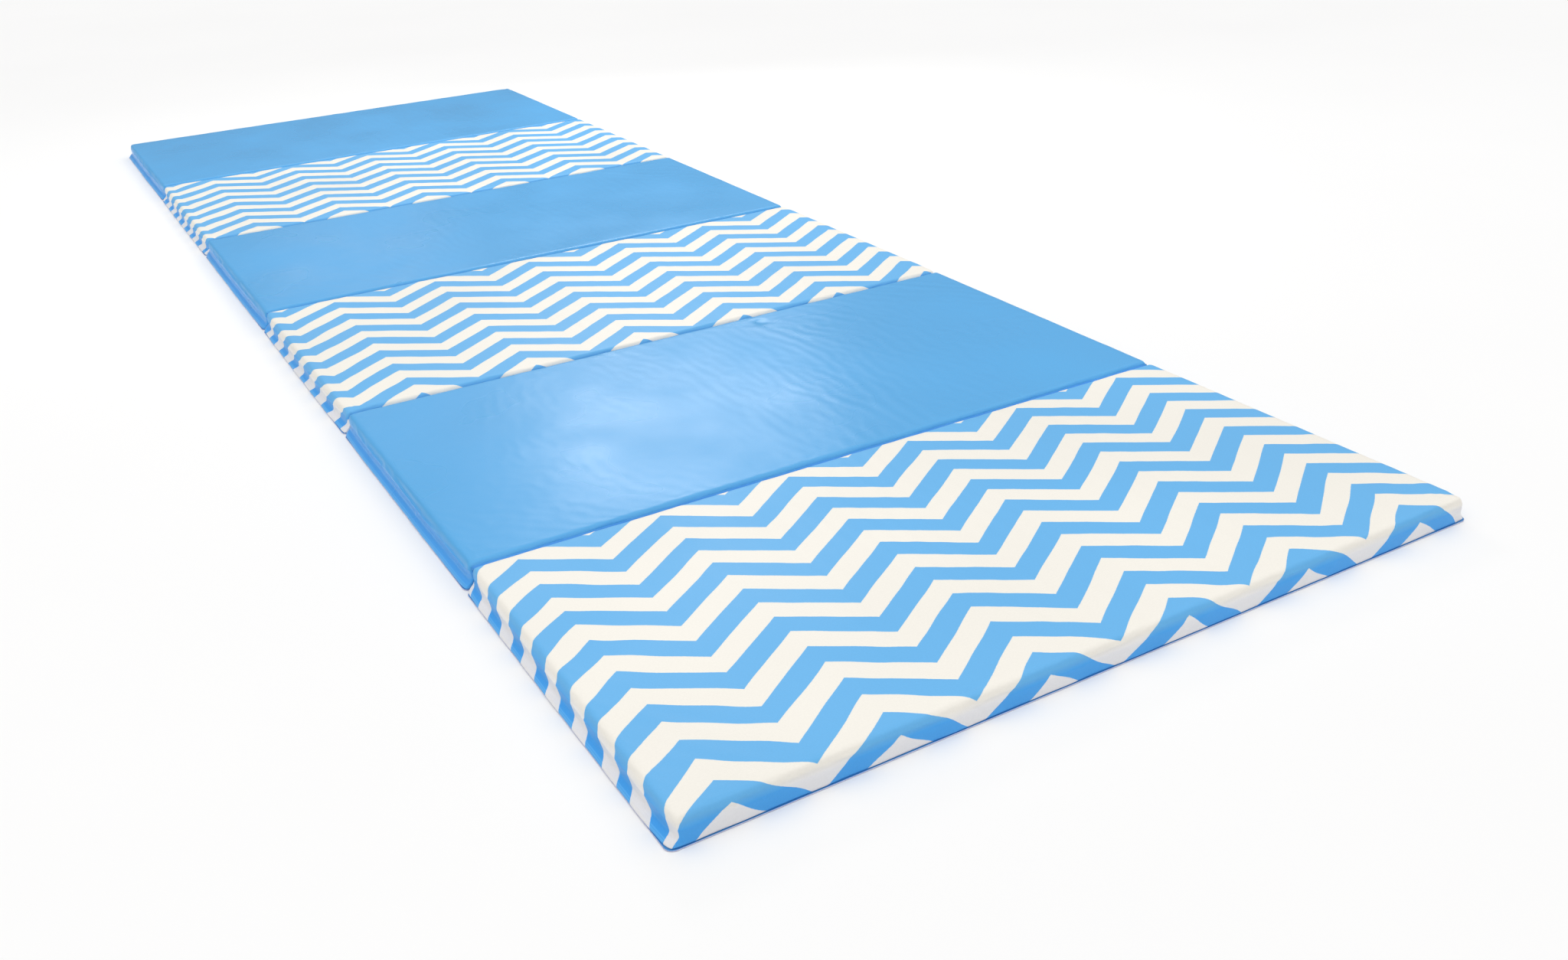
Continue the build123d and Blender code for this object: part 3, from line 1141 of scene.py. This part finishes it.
def build_stitches(sizes):
    """Thread round each underside hem and beside each zip."""
    tree = stitch_tree()
    thread = material_of("thread", thread_material, tuple(sizes.thread))
    for k in PANELS:
        path = loops_to_path(hem_path(k) + zip_path(k))
        values = {"Pitch": sizes.stitch_pitch, "Stitch": STITCH_HALVES, "Material": thread}
        run = grown(f"stitches_{k}", tree, values, path)
        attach(run, f"panel_{k}")


# ---------------------------------------------------------------- zips

TAPE_RUNS = 110
TAPE_SPLIT = 0.0004
TOOTH_SLANT = 0.22


def tape_strip(low, high, edge_z, free_z):
    """A thin woven strip from its sewn edge to its slightly wavy free edge."""
    rows = (0.0, 0.35, 0.7, 1.0)
    points = []
    for side in (high.x, low.x):
        for y in np.linspace(low.y, high.y, TAPE_RUNS):
            for r in rows:
                wave = 0.00012 * math.sin(y * 160.0 + r * 2.0)
                points.append((side + wave * r, y, edge_z + (free_z - edge_z) * r))
    return points, two_layers(TAPE_RUNS, len(rows))


def build_zips(sizes):
    """Woven tapes, teeth, and finishes for the slider and stops."""
    tree = teeth_tree()
    weave = material_of("tape", tape_material, tuple(sizes.tape_blue))
    nylon = material_of("coil", moulded_material, "zip_nylon", tuple(sizes.coil_blue), 0.38)
    metal = material_of("metal", moulded_material, "zip_metal", tuple(sizes.metal), 0.32, 1.0)
    for k in PANELS:
        low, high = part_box(f"zip_tape_{k}")
        coil_low, coil_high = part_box(f"zip_coil_{k}")
        middle = (coil_low.z + coil_high.z) / 2
        first = tape_strip(low, high, low.z, middle - TAPE_SPLIT)
        second = tape_strip(low, high, high.z, middle + TAPE_SPLIT)
        count = len(first[0])
        points = first[0] + second[0]
        faces = first[1] + [tuple(i + count for i in f) for f in second[1]]
        tapes = mesh_object(f"zip_tapes_{k}", points, faces)
        fix_normals(tapes)
        stand_in(tapes, weave, f"zip_tape_{k}", f"panel_{k}")
        size, pitch = coil_high - coil_low, sizes.tooth_pitch
        values = {
            "Start": (coil_low.x + size.x * 0.45, coil_low.y + pitch * 0.4, middle),
            "Count": int((size.y - pitch) / pitch),
            "Pitch": pitch,
            "Tooth": (size.x * 0.5, pitch * 0.34, size.z * 0.48),
            "Slant": TOOTH_SLANT, "Material": nylon}
        teeth = grown(f"zip_teeth_{k}", tree, values)
        stand_in(teeth, nylon, f"zip_coil_{k}", f"panel_{k}")
        give_material(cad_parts[f"zip_slider_{k}"], metal)
        give_material(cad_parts[f"zip_stops_{k}"], metal)


# ---------------------------------------------------------------- stage

def area_light(name, place, aim, size, power):
    """A soft rectangular light that faces the point aimed at."""
    data = bpy.data.lights.new(name, "AREA")
    data.shape = "RECTANGLE"
    data.size, data.size_y = size
    data.energy = power
    light = linked_object(name, data)
    light.location = place
    light.rotation_euler = (Vector(aim) - Vector(place)).to_track_quat("-Z", "Y").to_euler()


FLOOR_CELLS = 12
FLOOR_HEIGHT = -0.0004
CAMERA_PLACE = (-1.0297, -2.8540, 0.9624)
CAMERA_TURN = (63.348, 2.530, -30.439)
BACK_SHARE = 0.10


def build_stage(sizes):
    """Floor, white room, soft lights and the camera."""
    scene = bpy.context.scene
    scene.view_settings.view_transform = "Standard"
    line = np.linspace(-sizes.floor_size / 2, sizes.floor_size / 2, FLOOR_CELLS + 1)
    points = [(x, y, FLOOR_HEIGHT) for y in line for x in line]
    side = FLOOR_CELLS + 1
    faces = [(a, a + 1, a + 1 + side, a + side)
             for j in range(FLOOR_CELLS) for a in range(j * side, j * side + FLOOR_CELLS)]
    floor = mesh_object("studio_floor", points, faces)
    give_material(floor, material_of("floor", floor_material))

    world = bpy.data.worlds.new("white_room")
    world.use_nodes = True
    sky = world.node_tree.nodes["Background"]
    sky.inputs["Color"].default_value = (1.0, 1.0, 1.0, 1.0)
    nodes = Nodes(world.node_tree)
    height = nodes.split(nodes.add("ShaderNodeTexCoord").outputs["Generated"])[2]
    room = nodes.spread(height, 0.12, 0.85, sizes.horizon, sizes.world, smooth=True)
    seen = nodes.add("ShaderNodeLightPath").outputs["Is Camera Ray"]
    nodes.set(sky, Strength=nodes.math("MAXIMUM", seen, room))
    scene.world = world

    sun = bpy.data.lights.new("overhead", "SUN")
    sun.energy = sizes.key
    sun.angle = 1.3
    sun.color = (1.0, 0.985, 0.96)
    linked_object("overhead", sun).rotation_euler = (0.35, -0.30, 0.0)
    area_light("behind_near", (0.92, 1.45, 1.33), (-0.22, -1.06, 0.04), (1.0, 0.42), sizes.back)
    area_light("behind_far", (0.24, 2.75, 1.00), (-0.39, -0.11, 0.04), (0.7, 0.22),
               sizes.back * BACK_SHARE)

    data = bpy.data.cameras.new("camera")
    data.lens = sizes.lens
    data.sensor_width = 36.0
    data.clip_start = 0.05
    data.clip_end = 200.0
    camera = linked_object("camera", data)
    camera.location = CAMERA_PLACE
    camera.rotation_euler = Euler([math.radians(a) for a in CAMERA_TURN], "XYZ")
    scene.camera = camera


# ---------------------------------------------------------------- operators and panel

class BuildStage(bpy.types.Operator):
    """Build the floor, lights and camera"""

    bl_idname = "foldmat.stage"
    bl_label = "Stage"

    def execute(self, context):
        build_stage(context.scene.foldmat_stage)
        return {"FINISHED"}


class BuildFoam(bpy.types.Operator):
    """Build the foam slab inside each panel"""

    bl_idname = "foldmat.foam"
    bl_label = "Foam"

    def execute(self, context):
        build_foam()
        return {"FINISHED"}


class BuildCovers(bpy.types.Operator):
    """Build the padded vinyl cover of each panel"""

    bl_idname = "foldmat.covers"
    bl_label = "Covers"

    def execute(self, context):
        scene = context.scene
        build_covers(scene.foldmat_cover, scene.foldmat_stage.cloth_frames)
        return {"FINISHED"}


class BuildUndersides(bpy.types.Operator):
    """Build the sheet under each panel"""

    bl_idname = "foldmat.undersides"
    bl_label = "Undersides"

    def execute(self, context):
        build_undersides(context.scene.foldmat_hinge)
        return {"FINISHED"}


class BuildHinges(bpy.types.Operator):
    """Build the fabric strip between each pair of panels"""

    bl_idname = "foldmat.hinges"
    bl_label = "Hinges"

    def execute(self, context):
        build_hinges(context.scene.foldmat_hinge)
        return {"FINISHED"}


class BuildZips(bpy.types.Operator):
    """Build the tapes and teeth, and finish the sliders and stops"""

    bl_idname = "foldmat.zips"
    bl_label = "Zips"

    def execute(self, context):
        build_zips(context.scene.foldmat_zip)
        return {"FINISHED"}


class BuildStitches(bpy.types.Operator):
    """Build the stitches of the hems and zips"""

    bl_idname = "foldmat.stitches"
    bl_label = "Stitches"

    def execute(self, context):
        build_stitches(context.scene.foldmat_zip)
        return {"FINISHED"}


class MatPanel(bpy.types.Panel):
    """Buttons and settings for the mat"""

    bl_idname = "VIEW3D_PT_foldmat"
    bl_label = "Folding Mat"
    bl_space_type = "VIEW_3D"
    bl_region_type = "UI"
    bl_category = "Mat"

    def draw(self, context):
        for operator in OPERATORS:
            self.layout.operator(operator.bl_idname)
        for label in SETTINGS:
            group = getattr(context.scene, label)
            for key in group.bl_rna.properties.keys():
                if key not in ("rna_type", "name"):
                    self.layout.prop(group, key)


OPERATORS = (BuildStage, BuildFoam, BuildCovers, BuildUndersides, BuildHinges, BuildZips,
             BuildStitches)
SETTINGS = {"foldmat_cover": CoverSettings, "foldmat_hinge": HingeSettings,
            "foldmat_zip": ZipSettings, "foldmat_stage": StageSettings}


def register():
    for label, group in SETTINGS.items():
        bpy.utils.register_class(group)
        setattr(bpy.types.Scene, label, PointerProperty(type=group))
    for operator in OPERATORS:
        bpy.utils.register_class(operator)
    bpy.utils.register_class(MatPanel)


def unregister():
    bpy.utils.unregister_class(MatPanel)
    for operator in reversed(OPERATORS):
        bpy.utils.unregister_class(operator)
    for label, group in SETTINGS.items():
        delattr(bpy.types.Scene, label)
        bpy.utils.unregister_class(group)


def main():
    register()
    bpy.ops.foldmat.stage()
    bpy.ops.foldmat.foam()
    bpy.ops.foldmat.covers()
    bpy.ops.foldmat.undersides()
    bpy.ops.foldmat.hinges()
    bpy.ops.foldmat.zips()
    bpy.ops.foldmat.stitches()


if __name__ == "__main__":
    main()
